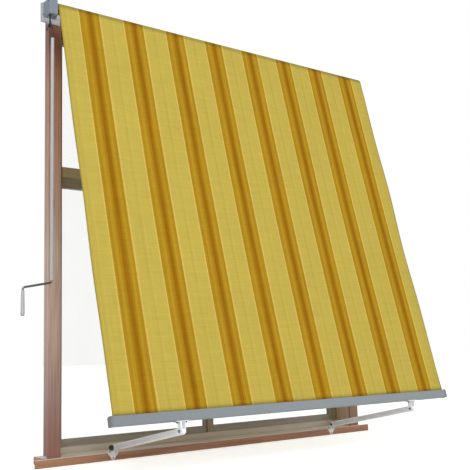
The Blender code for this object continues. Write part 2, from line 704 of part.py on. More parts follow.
def build_roller(rolling):
    points = 48
    outer, inner = [], []
    groove = GROOVE_WIDTH / 2 / TUBE_RADIUS
    for i in range(points):
        angle = 2 * math.pi * i / points
        off = min(angle, 2 * math.pi - angle)
        deep = GROOVE_DEPTH if off < groove else 0
        deep_inside = GROOVE_DEPTH if off < groove + 2 * math.pi / points else 0
        for loop, radius in ((outer, TUBE_RADIUS - deep), (inner, TUBE_RADIUS - TUBE_WALL - deep_inside)):
            loop.append((ROLLER.x + radius * math.cos(angle), ROLLER.y + radius * math.sin(angle)))
    tube = cut(prism(outer, TUBE_LEFT, TUBE_RIGHT), prism(inner, TUBE_LEFT - 0.01, TUBE_RIGHT + 0.01))
    add("roller_tube", tube, ZINC, rolling)

    plug = TUBE_RADIUS - TUBE_WALL - GROOVE_DEPTH - GAP
    rim = TUBE_RADIUS - GAP
    flange = TUBE_LEFT - GAP
    body = turned(
        [
            (flange - PLUG_FLANGE, 0),
            (flange - PLUG_FLANGE, rim - 0.001),
            (flange - PLUG_FLANGE + 0.001, rim),
            (flange, rim),
            (flange, plug),
            (flange + PLUG_LENGTH - 0.002, plug),
            (flange + PLUG_LENGTH, plug - 0.002),
            (flange + PLUG_LENGTH, 0),
        ],
        ROLLER,
    )
    half = SHAFT_SQUARE / 2
    square = box(
        (WORM_X - WHEEL_WIDTH / 2 - 0.002, ROLLER.x - half, ROLLER.y - half),
        (flange - PLUG_FLANGE / 2, ROLLER.x + half, ROLLER.y + half),
    )
    add("drive_plug", join(body, square), BLACK, rolling)

    flange = TUBE_RIGHT + GAP
    outside = IDLER_PLATE_X + PLATE_THICK + GAP
    body = turned(
        [
            (flange - PLUG_LENGTH, 0),
            (flange - PLUG_LENGTH, plug - 0.002),
            (flange - PLUG_LENGTH + 0.002, plug),
            (flange, plug),
            (flange, rim),
            (flange + PLUG_FLANGE - 0.001, rim),
            (flange + PLUG_FLANGE, rim - 0.001),
            (flange + PLUG_FLANGE, IDLER_PIN_RADIUS),
            (outside, IDLER_PIN_RADIUS),
            (outside, IDLER_HEAD_RADIUS),
            (outside + IDLER_HEAD, IDLER_HEAD_RADIUS),
            (outside + IDLER_HEAD, 0),
        ],
        ROLLER,
    )
    add("idler_plug", body, BLACK, rolling)


def build_cloth():
    """One cloth: the turns left on the tube, the free panel and the bead in the bar's channel."""
    half = CLOTH_THICK / 2
    steps = TURN_POINTS * TURNS_LEFT
    outside, inside = [], []
    for i in range(steps + 1):
        angle = LEAVE_ANGLE - 2 * math.pi * i / TURN_POINTS
        radius = ROLL_RADIUS - TURN_PITCH * i / TURN_POINTS
        spoke = Vector((math.cos(angle), math.sin(angle)))
        outside.append(ROLLER + spoke * (radius + half))
        inside.append(ROLLER + spoke * (radius - half))
    open_half = math.degrees(math.asin(half / KEDER_RADIUS))
    bead = [
        bar_point(KEDER_DEPTH - b, a)
        for a, b in arc((0, 0), KEDER_RADIUS, 90 - open_half, open_half - 270, 14)
    ]
    outline = list(reversed(outside)) + bead + inside
    bm = prism([tuple(p) for p in outline], CLOTH_LEFT, CLOTH_RIGHT)
    add("awning_cloth", bm, CLOTH)


def bar_profile(lo, hi):
    """A hollow section with a bead channel in its top and a bolt slot in its underside."""
    shoulder = -BAR_BACK + BAR_SHOULDER
    section = rounded(
        [
            (0, BAR_FRONT),
            (BAR_HEIGHT, BAR_FRONT),
            (BAR_HEIGHT, -BAR_BACK),
            (BAR_SHOULDER, -BAR_BACK),
            (0, shoulder),
        ],
        BAR_ROUND,
        2,
    )
    roof = BAR_HEIGHT - BOLT_SLOT_LIP - BOLT_SLOT_DEPTH
    chamber = rounded(
        [
            (KEDER_DEPTH + KEDER_CHANNEL + BAR_WALL, BAR_FRONT - BAR_WALL),
            (roof - BAR_WALL, BAR_FRONT - BAR_WALL),
            (roof - BAR_WALL, -BAR_BACK + BAR_WALL),
            (KEDER_DEPTH + KEDER_CHANNEL + BAR_WALL, -BAR_BACK + BAR_WALL),
        ],
        0.001,
        2,
    )
    mouth, neck, room = KEDER_MOUTH / 2, BOLT_SLOT / 2, BOLT_SLOT_INNER / 2
    lip = BAR_HEIGHT - BOLT_SLOT_LIP
    shapes = [
        chamber,
        round_outline((KEDER_DEPTH, 0), KEDER_CHANNEL, 20),
        [(-0.01, mouth), (KEDER_DEPTH, mouth), (KEDER_DEPTH, -mouth), (-0.01, -mouth)],
        [
            (BAR_HEIGHT + 0.01, BOLT_LINE + neck),
            (lip, BOLT_LINE + neck),
            (lip, BOLT_LINE + room),
            (roof, BOLT_LINE + room),
            (roof, BOLT_LINE - room),
            (lip, BOLT_LINE - room),
            (lip, BOLT_LINE - neck),
            (BAR_HEIGHT + 0.01, BOLT_LINE - neck),
        ],
    ]
    body = prism(on_bar(section), lo, hi)
    return cut(body, *[prism(on_bar(shape), lo - 0.01, hi + 0.01) for shape in shapes])


def on_bar(outline):
    return [tuple(bar_point(down, front)) for down, front in outline]


def build_bar(tilting):
    add("front_bar", bar_profile(BAR_LEFT, BAR_RIGHT), GREY_PAINT, tilting)
    proud = CAP_PROUD
    cap_outline = rounded(
        [
            (-proud, BAR_FRONT + proud),
            (BAR_HEIGHT + proud, BAR_FRONT + proud),
            (BAR_HEIGHT + proud, -BAR_BACK - proud),
            (BAR_SHOULDER, -BAR_BACK - proud),
            (-proud, -BAR_BACK + BAR_SHOULDER),
        ],
        0.0018,
        3,
    )
    for name, lo, hi, outer in (
        ("left_bar_cap", BAR_LEFT - BAR_CAP, BAR_LEFT - GAP, 0),
        ("right_bar_cap", BAR_RIGHT + GAP, BAR_RIGHT + BAR_CAP, 1),
    ):
        bm = prism(on_bar(cap_outline), lo, hi)
        end = hi if outer else lo
        rim = [e for e in bm.edges if all(abs(v.co.x - end) < 1e-6 for v in e.verts)]
        bmesh.ops.bevel(bm, geom=rim, offset=0.0015, segments=2, affect="EDGES", profile=0.5, material=-1)
        add(name, bm, BLACK, tilting)


def strap(lo, hi, outline):
    return prism(on_bar(outline), lo, hi)


def build_hanger(side, x, tilting):
    """A folded hanger: two ears bolted up into the bar's slot, and two cheeks round the arm's eye."""
    top = BAR_HEIGHT + GAP
    under = top + CHEEK_THICK
    ear_front, ear_back = BAR_FRONT - 0.002, -BAR_BACK + 0.002
    inner = EYE_HALF + GAP
    outer = inner + CHEEK_THICK
    edge = outer + HANGER_EAR
    pivot = (BAR_HEIGHT + HANGER_DROP, -HANGER_BACK)
    lower = [(pivot[0] + b, pivot[1] + a) for a, b in arc((0, 0), HANGER_ROUND, 0, 180, 8)]
    cheek = [(top, ear_front)] + lower + [(top, ear_back)]
    ear = [(top, ear_front), (under, ear_front), (under, ear_back), (top, ear_back)]
    parts = [strap(x + inner, x + outer, cheek)]
    parts.append(strap(x + outer - 0.001, x + edge, ear))
    parts.append(strap(x - edge, x - outer + 0.001, ear))
    bridge = strap(x - outer, x + outer, ear)
    whole = join(strap(x - outer, x - inner, cheek), *parts, bridge)
    pin = rod(x - 0.05, x + 0.05, BAR_PIVOT, hole_radius(PIN_RADIUS))
    holes = []
    for way in (-1, 1):
        centre = x + way * (outer + HANGER_EAR / 2)
        holes.append(bolt_hole(centre))
    add(f"{side}_hanger", cut(whole, pin, *holes), ALUMINIUM, tilting)
    for label, way in (("outer", -1), ("inner", 1)) if side == "left" else (("inner", -1), ("outer", 1)):
        add(f"{side}_{label}_bolt", hanger_bolt(x + way * (outer + HANGER_EAR / 2)), BLACK, tilting)
    head = outer + GAP
    axle = turned(
        [
            (x - head - PIN_HEAD, 0),
            (x - head - PIN_HEAD, PIN_HEAD_RADIUS - 0.001),
            (x - head - PIN_HEAD + 0.001, PIN_HEAD_RADIUS),
            (x - head, PIN_HEAD_RADIUS),
            (x - head, PIN_RADIUS),
            (x + head, PIN_RADIUS),
            (x + head, PIN_HEAD_RADIUS),
            (x + head + PIN_HEAD - 0.001, PIN_HEAD_RADIUS),
            (x + head + PIN_HEAD, PIN_HEAD_RADIUS - 0.001),
            (x + head + PIN_HEAD, 0),
        ],
        BAR_PIVOT,
        sides=HOLE_SIDES,
    )
    add(f"{side}_hanger_pin", axle, STEEL, tilting)


def set_on_bar(bm):
    """Move a solid built upright, with the bar's top at the origin, to its place on the bar."""
    turn = Matrix(((1, 0, 0), (0, -BAR_DOWN.y, -BAR_DOWN.x), (0, BAR_DOWN.x, -BAR_DOWN.y)))
    bmesh.ops.transform(bm, verts=bm.verts, matrix=turn.to_4x4())
    bmesh.ops.translate(bm, verts=bm.verts, vec=(0, BAR_EDGE.x, BAR_EDGE.y))
    return bm


def bolt_hole(x):
    hole = rod(-BAR_HEIGHT - 0.01, -BAR_HEIGHT + 0.01, (x, -BOLT_LINE), hole_radius(BOLT_RADIUS), "Z")
    return set_on_bar(hole)


def hanger_bolt(x):
    """A bolt from below, its nut held in the bar's slot."""
    low = -BAR_HEIGHT - CHEEK_THICK - 2 * GAP
    nut = -BAR_HEIGHT + BOLT_SLOT_LIP + GAP
    bolt = turned(
        [
            (low - BOLT_HEAD, 0),
            (low - BOLT_HEAD, BOLT_HEAD_RADIUS - 0.001),
            (low - BOLT_HEAD + 0.001, BOLT_HEAD_RADIUS),
            (low, BOLT_HEAD_RADIUS),
            (low, BOLT_RADIUS),
            (nut, BOLT_RADIUS),
            (nut, BOLT_HEAD_RADIUS),
            (nut + BOLT_NUT, BOLT_HEAD_RADIUS),
            (nut + BOLT_NUT, 0),
        ],
        (x, -BOLT_LINE),
        "Z",
        HOLE_SIDES,
    )
    return set_on_bar(bolt)


def across(outline, lo, hi):
    """Extrude along X an outline given along and up from the arm's line."""
    return prism([tuple(arm_point(a, b)) for a, b in outline], lo, hi)


def arm_section(width, depth, radius):
    w, d = width / 2, depth / 2
    return rounded([(-w, -d), (w, -d), (w, d), (-w, d)], radius, 4)


def arm_tube(x, start, end, width, depth, radius):
    """A length of the arm's section from start to end along the arm, which runs askew to its head."""
    bm = prism(arm_section(width, depth, radius), start, end, "Z")
    for vert in bm.verts:
        vert.co.x += (HEAD_SHIFT - FOOT_SHIFT) * vert.co.z / ARM_LENGTH
    turn = Matrix(((1, 0, 0), (0, -ARM_SIDE.x, ARM_LINE.x), (0, -ARM_SIDE.y, ARM_LINE.y)))
    bmesh.ops.transform(bm, verts=bm.verts, matrix=turn.to_4x4())
    bmesh.ops.translate(bm, verts=bm.verts, vec=(x, SILL_PIVOT.x, SILL_PIVOT.y))
    bmesh.ops.recalc_face_normals(bm, faces=bm.faces)
    return bm


def arm_fitting(foot, x, pivot, tube_end, way):
    """A cast end: an eye at x round the pivot pin and a plug in the tube that starts at the foot."""
    rim = ARM_DEPTH / 2
    sweep = arc((pivot, 0), rim, 90, 270, 10) if way > 0 else arc((pivot, 0), rim, -90, 90, 10)
    shoulder = tube_end - way * GAP
    ends = [(shoulder, -rim), (shoulder, rim)]
    outline = sweep + (ends if way > 0 else ends[::-1])
    eye = across(outline, x - EYE_HALF + GAP, x + EYE_HALF - GAP)
    fit = ARM_WALL + GAP
    ends = sorted((shoulder - way * 0.004, shoulder + way * FITTING_PLUG))
    plug = arm_tube(foot, *ends, ARM_WIDTH - 2 * fit, ARM_DEPTH - 2 * fit, ARM_ROUND - fit)
    centre = arm_point(pivot, 0)
    hole = rod(x - 0.05, x + 0.05, centre, hole_radius(PIN_RADIUS))
    return cut(join(eye, plug), hole)


def build_arm(side, swinging):
    x, head = FOOT_PLACES[side], HEAD_PLACES[side]
    start, end = ARM_START, ARM_LENGTH - ARM_END
    outer = arm_tube(x, start, end, ARM_WIDTH, ARM_DEPTH, ARM_ROUND)
    inner = arm_tube(
        x, start - 0.01, end + 0.01, ARM_WIDTH - 2 * ARM_WALL, ARM_DEPTH - 2 * ARM_WALL,
        ARM_ROUND - ARM_WALL
    )
    add(f"{side}_arm_tube", cut(outer, inner), ALUMINIUM, swinging)
    add(f"{side}_arm_foot", arm_fitting(x, x, 0, start, 1), ALUMINIUM, swinging)
    add(f"{side}_arm_head", arm_fitting(x, head, ARM_LENGTH, end, -1), ALUMINIUM, swinging)


def build_sill_bracket(side, x):
    """A cast bracket: a shield on the sill's front face and two cheeks round the arm's foot."""
    back = -SILL_NOSE - GAP
    front = back - SHIELD_THICK
    half, tip = SHIELD_WIDTH / 2, SHIELD_TIP / 2
    shield = rounded(
        [
            (x - tip, SHIELD_LOW),
            (x + tip, SHIELD_LOW),
            (x + half, SHIELD_SHOULDER),
            (x + half, SHIELD_TOP),
            (x - half, SHIELD_TOP),
            (x - half, SHIELD_SHOULDER),
        ],
        0.0035,
        2,
    )
    inner = EYE_HALF + GAP
    outer = inner + SILL_CHEEK_THICK
    y, z = SILL_PIVOT
    root = back - SHIELD_THICK / 2
    cheek = arc((y, z), SILL_EYE_ROUND, 90, 270, 10) + [(root, 0.020), (root, SHIELD_TOP - 0.002)]
    whole = join(
        prism(shield, back, front, "Y"),
        prism(cheek, x - outer, x - inner),
        prism(cheek, x + inner, x + outer),
    )
    hole = rod(x - 0.05, x + 0.05, SILL_PIVOT, hole_radius(PIN_RADIUS))
    add(f"{side}_sill_bracket", cut(whole, hole), WHITE_PAINT)
    head = outer + GAP
    way = -1 if side == "left" else 1
    knob = head + PIVOT_CAP
    pin = turned(
        [
            (x + way * knob, 0),
            (x + way * knob, PIVOT_CAP_RADIUS - 0.002),
            (x + way * (knob - 0.002), PIVOT_CAP_RADIUS),
            (x + way * head, PIVOT_CAP_RADIUS),
            (x + way * head, PIN_RADIUS),
            (x - way * head, PIN_RADIUS),
            (x - way * head, PIN_HEAD_RADIUS),
            (x - way * (head + PIN_HEAD), PIN_HEAD_RADIUS),
            (x - way * (head + PIN_HEAD), 0),
        ],
        SILL_PIVOT,
        sides=HOLE_SIDES,
    )
    add(f"{side}_pivot_bolt", pin, BLACK)


def build_crank(turning, spinning):
    apex = EYE_HEIGHT - EYE_RING + EYE_WIRE + HOOK_WIRE + GAP
    middle = apex - HOOK_BEND
    shank_x = WORM_X + HOOK_BEND
    bend = [(a, WORM_Y, b) for a, b in arc((WORM_X, middle), HOOK_BEND, 0, 180, 12)]
    tip = (WORM_X - HOOK_BEND - HOOK_TIP_OUT, WORM_Y, middle - HOOK_TIP_DROP + HOOK_BEND)
    hook = wire([(shank_x, WORM_Y, CRANK_TUBE_TOP - CRANK_PLUG)] + bend + [tip], HOOK_WIRE)
    plug_radius = CRANK_TUBE_RADIUS - CRANK_TUBE_WALL - GAP
    plug = turned(
        [
            (CRANK_TUBE_TOP - CRANK_PLUG, 0),
            (CRANK_TUBE_TOP - CRANK_PLUG, plug_radius),
            (CRANK_TUBE_TOP + GAP, plug_radius),
            (CRANK_TUBE_TOP + GAP, CRANK_TUBE_RADIUS),
            (CRANK_TUBE_TOP + 0.004, CRANK_TUBE_RADIUS),
            (CRANK_TUBE_TOP + 0.010, HOOK_WIRE + 0.001),
            (CRANK_TUBE_TOP + 0.010, 0),
        ],
        (shank_x, WORM_Y),
        "Z",
        HOLE_SIDES,
    )
    add("crank_hook", join(plug, hook), STEEL, turning)
    centre = (shank_x, WORM_Y)
    tube = cut(
        rod(CRANK_TUBE_LOW, CRANK_TUBE_TOP, centre, CRANK_TUBE_RADIUS, "Z", 20),
        rod(
            CRANK_TUBE_LOW - 0.01, CRANK_TUBE_TOP + 0.01, centre,
            CRANK_TUBE_RADIUS - CRANK_TUBE_WALL, "Z", 20
        ),
    )
    add("crank_tube", tube, GREY_PLASTIC, turning)

    grip_x = shank_x - CRANK_ARM
    knee = CRANK_TUBE_LOW - CRANK_BEND
    elbow = knee - CRANK_ARM_FALL
    grip_top = elbow - CRANK_BEND - GRIP_DROP
    grip_low = grip_top - GRIP_LENGTH
    path = bent_path([
        (shank_x, CRANK_TUBE_LOW + CRANK_PLUG), (shank_x, knee), (grip_x, elbow), (grip_x, grip_low)
    ])
    rod_wire = wire([(a, WORM_Y, b) for a, b in path], CRANK_WIRE)
    head = rod(grip_low - GAP - GRIP_HEAD, grip_low - GAP, (grip_x, WORM_Y), GRIP_TOP_RADIUS, "Z")
    stem = rod(grip_low - GAP - GRIP_HEAD / 2, grip_low + 0.002, (grip_x, WORM_Y), CRANK_WIRE - GAP, "Z")
    seat = rod(
        CRANK_TUBE_LOW + GAP, CRANK_TUBE_LOW + CRANK_PLUG, centre,
        CRANK_TUBE_RADIUS - CRANK_TUBE_WALL - GAP, "Z"
    )
    add("crank_handle", join(rod_wire, seat, stem, head), STEEL, turning)

    bore = hole_radius(CRANK_WIRE)
    grip = turned(
        [
            (grip_top, bore),
            (grip_top, GRIP_TOP_RADIUS - 0.0008),
            (grip_top - 0.003, GRIP_TOP_RADIUS),
            (grip_top - GRIP_LENGTH * 0.55, (GRIP_TOP_RADIUS + GRIP_LOW_RADIUS) / 2 + 0.0002),
            (grip_low + 0.006, GRIP_LOW_RADIUS),
            (grip_low, GRIP_LOW_RADIUS - 0.0015),
            (grip_low, bore),
        ],
        (grip_x, WORM_Y),
        "Z",
        HOLE_SIDES,
    )
    add("crank_grip", grip, GREY_PLASTIC, spinning)


def bent_path(corners):
    """A path of straight runs with each inner corner turned on an arc of the crank's bend radius."""
    out = [corners[0]]
    for before, here, after in zip(corners, corners[1:], corners[2:]):
        here = Vector(here)
        back = (Vector(before) - here).normalized()
        ahead = (Vector(after) - here).normalized()
        half = back.angle(ahead) / 2
        reach = CRANK_BEND / math.tan(half)
        middle = here + (back + ahead).normalized() * CRANK_BEND / math.sin(half)
        first, last = here + back * reach - middle, here + ahead * reach - middle
        turn = first.angle_signed(last)
        for k in range(7):
            spoke = first.copy()
            spoke.rotate(Matrix.Rotation(-turn * k / 6, 2))
            out.append(tuple(middle + spoke))
    out.append(corners[-1])
    return out


def main():
    clear_scene()
    build_frame()
    build_window()
    build_brackets()
    rolling = joint_empty("roller_axis", (0, ROLLER.x, ROLLER.y))
    turning = joint_empty("crank_axis", (WORM_X, WORM_Y, EYE_HEIGHT))
    grip_x = WORM_X + HOOK_BEND - CRANK_ARM
    spinning = joint_empty("grip_axis", (grip_x, WORM_Y, CRANK_TUBE_LOW - CRANK_ARM_FALL), turning)
    build_winch(turning, rolling)
    build_roller(rolling)
    build_cloth()
    build_crank(turning, spinning)
    pivots = {
        side: joint_empty(f"{side}_arm_axis", (x, SILL_PIVOT.x, SILL_PIVOT.y))
        for side, x in FOOT_PLACES.items()
    }
    tilting = joint_empty("bar_axis", (HEAD_PLACES["left"], BAR_PIVOT.x, BAR_PIVOT.y), pivots["left"])
    build_bar(tilting)
    for side, x in FOOT_PLACES.items():
        build_sill_bracket(side, x)
        build_arm(side, pivots[side])
        build_hanger(side, HEAD_PLACES[side], tilting)


main()
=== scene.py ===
import json
import math

import bmesh
import bpy
from mathutils import Matrix, Vector


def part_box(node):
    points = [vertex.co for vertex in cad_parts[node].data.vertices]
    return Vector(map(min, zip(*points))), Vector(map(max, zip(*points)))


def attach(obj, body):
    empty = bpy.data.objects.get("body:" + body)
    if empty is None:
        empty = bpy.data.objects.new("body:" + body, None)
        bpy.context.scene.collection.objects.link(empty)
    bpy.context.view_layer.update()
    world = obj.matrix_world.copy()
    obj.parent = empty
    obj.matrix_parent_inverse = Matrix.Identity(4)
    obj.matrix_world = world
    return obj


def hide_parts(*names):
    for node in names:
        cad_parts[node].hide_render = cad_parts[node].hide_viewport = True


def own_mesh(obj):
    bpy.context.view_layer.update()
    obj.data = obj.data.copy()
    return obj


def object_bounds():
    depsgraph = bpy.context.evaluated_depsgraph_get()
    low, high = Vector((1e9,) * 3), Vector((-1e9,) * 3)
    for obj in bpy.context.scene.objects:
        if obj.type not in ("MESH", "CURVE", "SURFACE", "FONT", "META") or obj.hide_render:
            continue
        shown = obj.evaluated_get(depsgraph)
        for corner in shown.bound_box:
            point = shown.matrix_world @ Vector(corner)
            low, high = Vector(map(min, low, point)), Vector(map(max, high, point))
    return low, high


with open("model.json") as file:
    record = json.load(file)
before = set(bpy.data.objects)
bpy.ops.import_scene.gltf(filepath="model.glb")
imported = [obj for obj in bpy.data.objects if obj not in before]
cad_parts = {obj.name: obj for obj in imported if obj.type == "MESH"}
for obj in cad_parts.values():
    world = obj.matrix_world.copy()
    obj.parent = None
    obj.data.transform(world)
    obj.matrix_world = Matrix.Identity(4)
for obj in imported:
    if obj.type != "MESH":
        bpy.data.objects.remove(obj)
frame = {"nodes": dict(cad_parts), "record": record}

CAD_LOW, CAD_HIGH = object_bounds()
JOINTS = {joint["name"]: joint for joint in frame["record"]["behaviour"]["joints"]}

# the photograph's view: where the lens stands and how it points
EYE = Vector((-2.600, -3.450, 0.487))
TURN, RISE, LEAN = 38.076, 7.981, 1.580
LENS = 62.97

# the cloth
STRIPE_REPEAT = 0.240
CLOTH_THICK = 0.0006
BEAD_RADIUS = 0.0031
BEAD_DEEP = 0.0066
SIDE_CURL = 0.004
SAG = 0.006
COLUMNS = 96
ROWS = 90
WOUND_STEP = 0.0009
WOUND_TURNS = 4

# the stage's brightness: the floor's own glow, and the world as light and as background
FLOOR_GLOW = 0.60
WORLD_LIGHT = 0.56

# half the clear width between the jambs
REVEAL = -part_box("left_jamb")[1][0]

CLOTH_LOW, CLOTH_HIGH = (Vector(corner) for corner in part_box("awning_cloth"))

# fasteners
FIXING_FACE = -0.0033
WINCH_PLATE_TALL = 0.094
WINCH_SCREW_IN = 0.035
IDLER_SCREW_IN = 0.016
SCREW_HEAD = 0.0048
SCREW_CROWN = 0.0022
SCREW_SLOT = 0.0012


def srgb(red, green, blue, alpha=1.0):
    """A colour as an eye or a paint card gives it, turned to light values."""
    def light(value):
        value /= 255
        return value / 12.92 if value <= 0.04045 else ((value + 0.055) / 1.055) ** 2.4
    return light(red), light(green), light(blue), alpha


# nodes

def put(tree, kind, values=None, **settings):
    """Add a node, set its properties and fill or link its inputs."""
    made = tree.nodes.new(kind)
    for name, value in settings.items():
        setattr(made, name, value)
    for name, value in (values or {}).items():
        if isinstance(value, bpy.types.NodeSocket):
            tree.links.new(value, made.inputs[name])
        else:
            made.inputs[name].default_value = value
    return made


def stops(node, *entries):
    """Fill a colour ramp with (place, colour) stops."""
    ramp = node.color_ramp
    while len(ramp.elements) > 1:
        ramp.elements.remove(ramp.elements[-1])
    ramp.elements[0].position, ramp.elements[0].color = entries[0]
    for place, colour in entries[1:]:
        ramp.elements.new(place).color = colour
    return node.outputs["Color"]


def calc(tree, operation, first, second=0.0, third=0.0):
    return put(tree, "ShaderNodeMath", {0: first, 1: second, 2: third}, operation=operation).outputs[0]


def blend_colour(tree, share, first, second, way="MIX"):
    values = {"Factor": share, 6: first, 7: second}
    return put(tree, "ShaderNodeMix", values, data_type="RGBA", blend_type=way).outputs[2]


def group(name, inputs, outputs):
    """A shader group with named sockets; returns its tree, its inside inputs and its inside outputs."""
    tree = bpy.data.node_groups.new(name, "ShaderNodeTree")
    for label, kind, value in inputs:
        socket = tree.interface.new_socket(label, in_out="INPUT", socket_type=kind)
        if value is not None:
            socket.default_value = value
    for label, kind in outputs:
        tree.interface.new_socket(label, in_out="OUTPUT", socket_type=kind)
    return tree, tree.nodes.new("NodeGroupInput").outputs, tree.nodes.new("NodeGroupOutput").inputs


def use(tree, shared, **values):
    made = put(tree, "ShaderNodeGroup", node_tree=shared)
    for name, value in values.items():
        name = name.replace("_", " ")
        if isinstance(value, bpy.types.NodeSocket):
            tree.links.new(value, made.inputs[name])
        else:
            made.inputs[name].default_value = value
    return made.outputs


def finish_of(name, **values):
    """A material with a Principled shader; returns it, its tree, its shader and object coordinates."""
    made = bpy.data.materials.new(name)
    made.use_nodes = True
    tree = made.node_tree
    shader = tree.nodes["Principled BSDF"]
    for label, value in values.items():
        shader.inputs[label.replace("_", " ")].default_value = value
    return made, tree, shader, tree.nodes.new("ShaderNodeTexCoord").outputs


def bump(tree, shader, height, distance, strength=1.0):
    made = put(tree, "ShaderNodeBump", {"Height": height, "Distance": distance, "Strength": strength})
    tree.links.new(made.outputs["Normal"], shader.inputs["Normal"])


def mottle_group():
    """Soft patches of a lighter and a darker tone, with fine specks: zinc bloom, dust and handling."""
    inputs = [
        ("Vector", "NodeSocketVector", None),
        ("Tone", "NodeSocketColor", (0.5, 0.5, 0.5, 1)),
        ("Patch Size", "NodeSocketFloat", 30.0),
        ("Depth", "NodeSocketFloat", 0.2),
        ("Polish", "NodeSocketFloat", 0.4),
    ]
    outputs = [
        ("Tone", "NodeSocketColor"),
        ("Roughness", "NodeSocketFloat"),
        ("Height", "NodeSocketFloat"),
    ]
    tree, given, out = group("weathered surface", inputs, outputs)
    values = {"Vector": given["Vector"], "Scale": given["Patch Size"], "Detail": 5.0}
    patches = put(tree, "ShaderNodeTexNoise", values)
    specks = put(tree, "ShaderNodeTexNoise", {"Vector": given["Vector"], "Scale": 900.0, "Detail": 2.0})
    broad = calc(tree, "MULTIPLY", patches.outputs["Fac"], 0.65)
    both = calc(tree, "MULTIPLY_ADD", specks.outputs["Fac"], 0.35, broad)
    swing = calc(tree, "MULTIPLY", calc(tree, "SUBTRACT", both, 0.5), given["Depth"])
    lift = calc(tree, "ADD", 1.0, calc(tree, "MULTIPLY", swing, 2.0))
    tone = put(tree, "ShaderNodeHueSaturation", {"Color": given["Tone"], "Value": lift})
    tree.links.new(tone.outputs["Color"], out["Tone"])
    polish = calc(tree, "ADD", given["Polish"], swing)
    rough = put(tree, "ShaderNodeClamp", {"Value": polish, "Min": 0.05, "Max": 1.0})
    tree.links.new(rough.outputs["Result"], out["Roughness"])
    tree.links.new(both, out["Height"])
    return tree


def grain_group():
    """Long grain streaks, pores and a slow change of tone along a board."""
    inputs = [
        ("Vector", "NodeSocketVector", None),
        ("Tone", "NodeSocketColor", (0.5, 0.4, 0.3, 1)),
        ("Streak Tone", "NodeSocketColor", (0.3, 0.2, 0.15, 1)),
        ("Streaks", "NodeSocketFloat", 0.5),
    ]
    outputs = [
        ("Tone", "NodeSocketColor"),
        ("Height", "NodeSocketFloat"),
        ("Roughness", "NodeSocketFloat"),
    ]
    tree, given, out = group("wood grain", inputs, outputs)
    values = {"Vector": given["Vector"], "Scale": 90.0, "Detail": 6.0, "Distortion": 0.6}
    long_grain = put(tree, "ShaderNodeTexNoise", values)
    broad = put(tree, "ShaderNodeTexNoise", {"Vector": given["Vector"], "Scale": 14.0, "Detail": 3.0})
    values = {"Value": long_grain.outputs["Fac"], "From Min": 0.42, "From Max": 0.72}
    streaks = put(tree, "ShaderNodeMapRange", values)
    share = calc(tree, "MULTIPLY", streaks.outputs["Result"], given["Streaks"])
    tone = blend_colour(tree, share, given["Tone"], given["Streak Tone"])
    slow = calc(tree, "MULTIPLY_ADD", broad.outputs["Fac"], 0.30, 0.85)
    shaded = put(tree, "ShaderNodeHueSaturation", {"Color": tone, "Value": slow})
    tree.links.new(shaded.outputs["Color"], out["Tone"])
    tree.links.new(long_grain.outputs["Fac"], out["Height"])
    tree.links.new(calc(tree, "MULTIPLY_ADD", long_grain.outputs["Fac"], 0.25, 0.42), out["Roughness"])
    return tree


MOTTLE = mottle_group()
GRAIN = grain_group()


def metal(name, tone, polish, patch=30.0, depth=0.2, shine=1.0, relief=0.0, **values):
    made, tree, shader, place = finish_of(name, Metallic=shine, **values)
    out = use(
        tree, MOTTLE, Vector=place["Object"], Tone=tone, Patch_Size=patch, Depth=depth, Polish=polish
    )
    tree.links.new(out["Tone"], shader.inputs["Base Color"])
    tree.links.new(out["Roughness"], shader.inputs["Roughness"])
    if relief:
        bump(tree, shader, out["Height"], relief)
    return made


def zinc():
    """Hot-dip zinc: angular spangles in slightly different greys."""
    made, tree, shader, place = finish_of("galvanised plate", Metallic=0.75)
    cells = put(tree, "ShaderNodeTexVoronoi", {"Vector": place["Object"], "Scale": 190.0})
    pick = put(tree, "ShaderNodeSeparateColor", {"Color": cells.outputs["Color"]}).outputs["Red"]
    grey = stops(
        put(tree, "ShaderNodeValToRGB", {"Fac": pick}),
        (0.0, srgb(150, 154, 160)),
        (1.0, srgb(186, 190, 196)),
    )
    out = use(tree, MOTTLE, Vector=place["Object"], Tone=grey, Patch_Size=60.0, Depth=0.25, Polish=0.46)
    tree.links.new(out["Tone"], shader.inputs["Base Color"])
    tree.links.new(out["Roughness"], shader.inputs["Roughness"])
    bump(tree, shader, out["Height"], 0.0002)
    return made


def wood(name, upright, tone, streak, streaks=0.5, light_and_shade_by_height=None, coat=0.15, inner=None):
    """A stained or painted board.

    The tones by height give a height and the tones up to it, which paint light and shade along the board;
    inner gives the tone of the reveal behind its front.
    """
    made, tree, shader, place = finish_of(name, Coat_Weight=coat, Coat_Roughness=0.35)
    squeeze = (1.0, 1.0, 0.035) if upright else (0.035, 1.0, 1.0)
    along = put(tree, "ShaderNodeMapping", {"Vector": place["Object"], "Scale": squeeze})
    # tones by height: painted light and shade along the board
    if light_and_shade_by_height:
        height = put(tree, "ShaderNodeSeparateXYZ", {"Vector": place["Object"]}).outputs["Z"]
        full, tones = light_and_shade_by_height
        share = calc(tree, "DIVIDE", height, full)
        tone = stops(put(tree, "ShaderNodeValToRGB", {"Fac": share}), *tones)
    if inner:
        spot = put(tree, "ShaderNodeSeparateXYZ", {"Vector": place["Object"]}).outputs
        values = {"Value": spot["Y"], "From Min": 0.006, "From Max": 0.014}
        behind = put(tree, "ShaderNodeMapRange", values)
        reveal = calc(tree, "LESS_THAN", calc(tree, "ABSOLUTE", spot["X"]), REVEAL + 0.003)
        tone = blend_colour(tree, calc(tree, "MULTIPLY", behind.outputs["Result"], reveal), tone, inner)
    out = use(tree, GRAIN, Vector=along.outputs["Vector"], Tone=tone, Streak_Tone=streak, Streaks=streaks)
    tree.links.new(out["Tone"], shader.inputs["Base Color"])
    tree.links.new(out["Roughness"], shader.inputs["Roughness"])
    bump(tree, shader, out["Height"], 0.0004)
    return made


